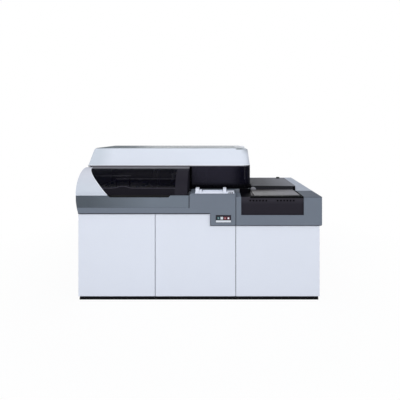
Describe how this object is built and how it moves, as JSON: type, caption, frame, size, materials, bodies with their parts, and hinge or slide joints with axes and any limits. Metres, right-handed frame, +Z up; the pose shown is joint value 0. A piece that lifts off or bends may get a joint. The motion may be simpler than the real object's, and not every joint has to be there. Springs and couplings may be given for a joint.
{
  "type": "chemistry analyzer",
  "caption": "Floor-standing clinical chemistry analyzer: cabinet with front doors, lifting smoked hood over carousels and arms, rack feeder on the right.",
  "frame": {"origin": "centre of the bounding box on the floor", "axes": "+X to the right as seen from the front, -Y out of the front doors, +Z up"},
  "size_m": [1.88, 1.05, 1.15],
  "materials": {
    "black_rubber": "matt",
    "frame_steel": "satin",
    "black_steel": "satin",
    "zinc_sheet": "satin",
    "white_panel": "satin",
    "grey_fascia": "satin",
    "grey_trim": "satin",
    "deck_grey": "satin",
    "polished_steel": "polished",
    "tub_aluminium": "satin",
    "lane_plastic": "matt",
    "white_moulding": "semi-gloss",
    "dark_panel": "matt",
    "pale_cover": "satin",
    "black_panel": "matt",
    "rack_grey": "satin",
    "smoked_pane": "gloss",
    "smoked_lid": "gloss",
    "dark_frame": "satin",
    "lid_grey": "gloss",
    "button_teal": "gloss",
    "button_white": "gloss",
    "button_red": "gloss",
    "button_maroon": "gloss",
    "bottle_white": "semi-gloss"
  },
  "bodies": {
    "cabinet": {"levelling_feet": "black_rubber", "main_frame": "frame_steel", "base_tray": "frame_steel", "plinth_skirt": "black_steel", "partition_walls": "zinc_sheet", "side_panel_left": "white_panel", "side_panel_right": "white_panel", "rear_panel_left": "white_panel", "rear_panel_right": "white_panel", "connection_panel": "zinc_sheet", "front_fascia": "grey_fascia", "fascia_trim": "grey_trim", "side_band_left": "grey_fascia", "deck_plate": "deck_grey", "column_guides": "polished_steel", "reagent_tub_1": "tub_aluminium", "reagent_tub_2": "tub_aluminium", "reaction_bath": "tub_aluminium", "rack_lane": "lane_plastic", "left_cheek": "white_moulding", "rear_housing": "white_moulding", "switch_panel": "dark_panel", "stat_lane": "white_moulding", "feeder_front": "grey_fascia", "feeder_body": "pale_cover", "bay_front_panel": "black_panel", "rack_trays": "lane_plastic", "sample_racks": "rack_grey", "hinge_pins": "polished_steel", "syringe_block": "white_moulding", "power_supply": "zinc_sheet", "waste_tank": "white_moulding"},
    "door_left": {"left_door": "white_panel"},
    "door_middle": {"middle_door": "white_panel"},
    "door_right": {"right_door": "white_panel"},
    "hood": {"hood_shell": "white_moulding", "left_window": "smoked_pane", "left_window_frame": "dark_frame", "right_window": "smoked_pane"},
    "bay_lid": {"rack_lid": "smoked_lid"},
    "transport_lid": {"rear_lid": "lid_grey"},
    "button_teal": {"teal_button": "button_teal"},
    "button_light": {"light_button": "button_white"},
    "button_red": {"red_button": "button_red"},
    "button_round": {"round_button": "button_maroon"},
    "carousel_one": {"reagent_wheel_1": "tub_aluminium", "reagent_bottles_1": "bottle_white"},
    "carousel_two": {"reagent_wheel_2": "tub_aluminium", "reagent_bottles_2": "bottle_white"},
    "reaction_wheel": {"cuvette_wheel": "black_panel"},
    "lift_one": {"reagent_lift_1": "polished_steel"},
    "arm_one": {"reagent_arm_1": "white_moulding"},
    "lift_two": {"reagent_lift_2": "polished_steel"},
    "arm_two": {"reagent_arm_2": "white_moulding"},
    "lift_sample": {"sample_lift": "polished_steel"},
    "arm_sample": {"sample_arm": "white_moulding"},
    "mixer_lift": {"mixer": "white_moulding"},
    "wash_lift": {"wash_head": "white_moulding"},
    "travelling_rack": {"lane_rack": "rack_grey"},
    "plungers": {"syringe_plungers": "polished_steel"}
  },
  "joints": [
    {"name": "left_door_hinge", "type": "hinge", "parent": "cabinet", "child": "door_left", "pos_m": [-0.909, -0.503, 0.34], "axis": [0, 0, -1], "range_deg": [0, 105]},
    {"name": "middle_door_hinge", "type": "hinge", "parent": "cabinet", "child": "door_middle", "pos_m": [0.264, -0.503, 0.295], "axis": [0, 0, 1], "range_deg": [0, 90]},
    {"name": "right_door_hinge", "type": "hinge", "parent": "cabinet", "child": "door_right", "pos_m": [0.909, -0.503, 0.295], "axis": [0, 0, 1], "range_deg": [0, 105]},
    {"name": "hood_hinge", "type": "hinge", "parent": "cabinet", "child": "hood", "pos_m": [0, 0.251, 1.137], "axis": [-1, 0, 0], "range_deg": [0, 60]},
    {"name": "rack_lid_hinge", "type": "hinge", "parent": "cabinet", "child": "bay_lid", "pos_m": [0.6, -0.247, 0.785], "axis": [-1, 0, 0], "range_deg": [0, 75]},
    {"name": "rear_lid_hinge", "type": "hinge", "parent": "cabinet", "child": "transport_lid", "pos_m": [0.6, 0.247, 0.801], "axis": [-1, 0, 0], "range_deg": [0, 80]},
    {"name": "teal_button_press", "type": "slide", "parent": "cabinet", "child": "button_teal", "axis": [0, 1, 0], "range_m": [0, 0.003], "stiffness_N_per_m": 300},
    {"name": "light_button_press", "type": "slide", "parent": "cabinet", "child": "button_light", "axis": [0, 1, 0], "range_m": [0, 0.003], "stiffness_N_per_m": 300},
    {"name": "red_button_press", "type": "slide", "parent": "cabinet", "child": "button_red", "axis": [0, 1, 0], "range_m": [0, 0.003], "stiffness_N_per_m": 300},
    {"name": "round_button_press", "type": "slide", "parent": "cabinet", "child": "button_round", "axis": [0, 1, 0], "range_m": [0, 0.003], "stiffness_N_per_m": 300},
    {"name": "carousel_one_spin", "type": "hinge", "parent": "cabinet", "child": "carousel_one", "pos_m": [-0.668, -0.105, 0.75], "axis": [0, 0, 1], "continuous": true},
    {"name": "carousel_two_spin", "type": "hinge", "parent": "cabinet", "child": "carousel_two", "pos_m": [0.22, -0.015, 0.75], "axis": [0, 0, 1], "continuous": true},
    {"name": "reaction_wheel_spin", "type": "hinge", "parent": "cabinet", "child": "reaction_wheel", "pos_m": [-0.205, -0.075, 0.75], "axis": [0, 0, 1], "continuous": true},
    {"name": "arm_one_lift", "type": "slide", "parent": "cabinet", "child": "lift_one", "axis": [0, 0, 1], "range_m": [0, 0.06]},
    {"name": "arm_one_turn", "type": "hinge", "parent": "lift_one", "child": "arm_one", "pos_m": [-0.44, 0.14, 0.96], "axis": [0, 0, 1], "range_deg": [-50, 20]},
    {"name": "arm_two_lift", "type": "slide", "parent": "cabinet", "child": "lift_two", "axis": [0, 0, 1], "range_m": [0, 0.06]},
    {"name": "arm_two_turn", "type": "hinge", "parent": "lift_two", "child": "arm_two", "pos_m": [0.03, 0.143, 0.96], "axis": [0, 0, 1], "range_deg": [-30, 60]},
    {"name": "arm_sample_lift", "type": "slide", "parent": "cabinet", "child": "lift_sample", "axis": [0, 0, 1], "range_m": [0, 0.06]},
    {"name": "arm_sample_turn", "type": "hinge", "parent": "lift_sample", "child": "arm_sample", "pos_m": [0.045, -0.19, 0.96], "axis": [0, 0, 1], "range_deg": [-30, 58]},
    {"name": "mixer_slide", "type": "slide", "parent": "cabinet", "child": "mixer_lift", "axis": [0, 0, 1], "range_m": [0, 0.04]},
    {"name": "wash_slide", "type": "slide", "parent": "cabinet", "child": "wash_lift", "axis": [0, 0, 1], "range_m": [0, 0.04]},
    {"name": "rack_travel", "type": "slide", "parent": "cabinet", "child": "travelling_rack", "axis": [-1, 0, 0], "range_m": [0, 0.22]},
    {"name": "plunger_stroke", "type": "slide", "parent": "cabinet", "child": "plungers", "axis": [0, 0, 1], "range_m": [0, 0.04]}
  ]
}
